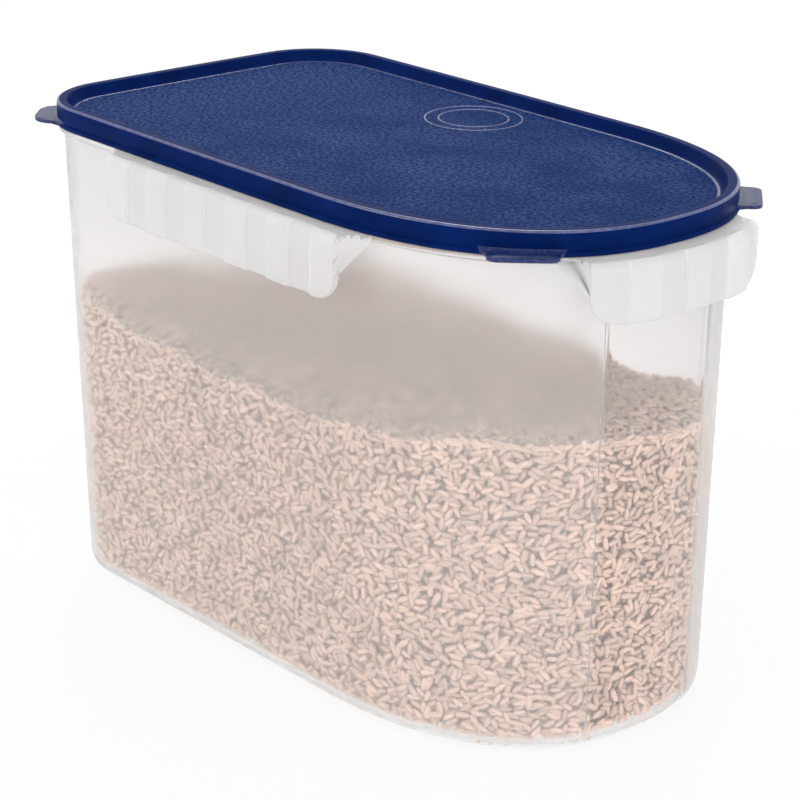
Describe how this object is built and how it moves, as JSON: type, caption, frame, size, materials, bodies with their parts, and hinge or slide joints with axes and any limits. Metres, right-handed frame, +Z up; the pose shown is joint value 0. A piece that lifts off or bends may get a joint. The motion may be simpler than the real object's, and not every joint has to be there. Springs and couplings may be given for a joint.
{
  "type": "rice bin",
  "caption": "Frosted plastic rice bin with a rounded nose, ribbed hand grips under its rim and a recessed navy press-on lid with pull tabs at the corners",
  "frame": {"origin": "middle of the base face, on the middle line of the container, below the middle of the lid", "axes": "+X points to the rounded nose, +Y to the left side seen from behind, +Z up"},
  "size_m": [0.2958, 0.1778, 0.2],
  "materials": {
    "frosted_wall": "milky translucent polypropylene with a fine frosted face",
    "frosted_edge": "the same milky polypropylene, denser where it is doubled over",
    "navy_rim": "satin navy moulding with a soft gloss",
    "navy_panel": "finely stippled navy",
    "navy_tab": "navy with a fine grain"
  },
  "bodies": {
    "container": {"container_shell": "frosted_wall", "rim_flange": "frosted_edge", "grip_apron_right": "frosted_edge", "grip_apron_left": "frosted_edge", "grip_apron_front": "frosted_edge"},
    "lid": {"lid_panel": "navy_panel", "lid_rim": "navy_rim", "tab_rear_right": "navy_tab", "tab_rear_left": "navy_tab", "tab_front_right": "navy_tab", "tab_front_left": "navy_tab"}
  },
  "joints": [
    {"name": "lid_lift", "type": "slide", "parent": "container", "child": "lid", "axis": [0, 0, 1], "range_m": [0, 0.06]}
  ]
}
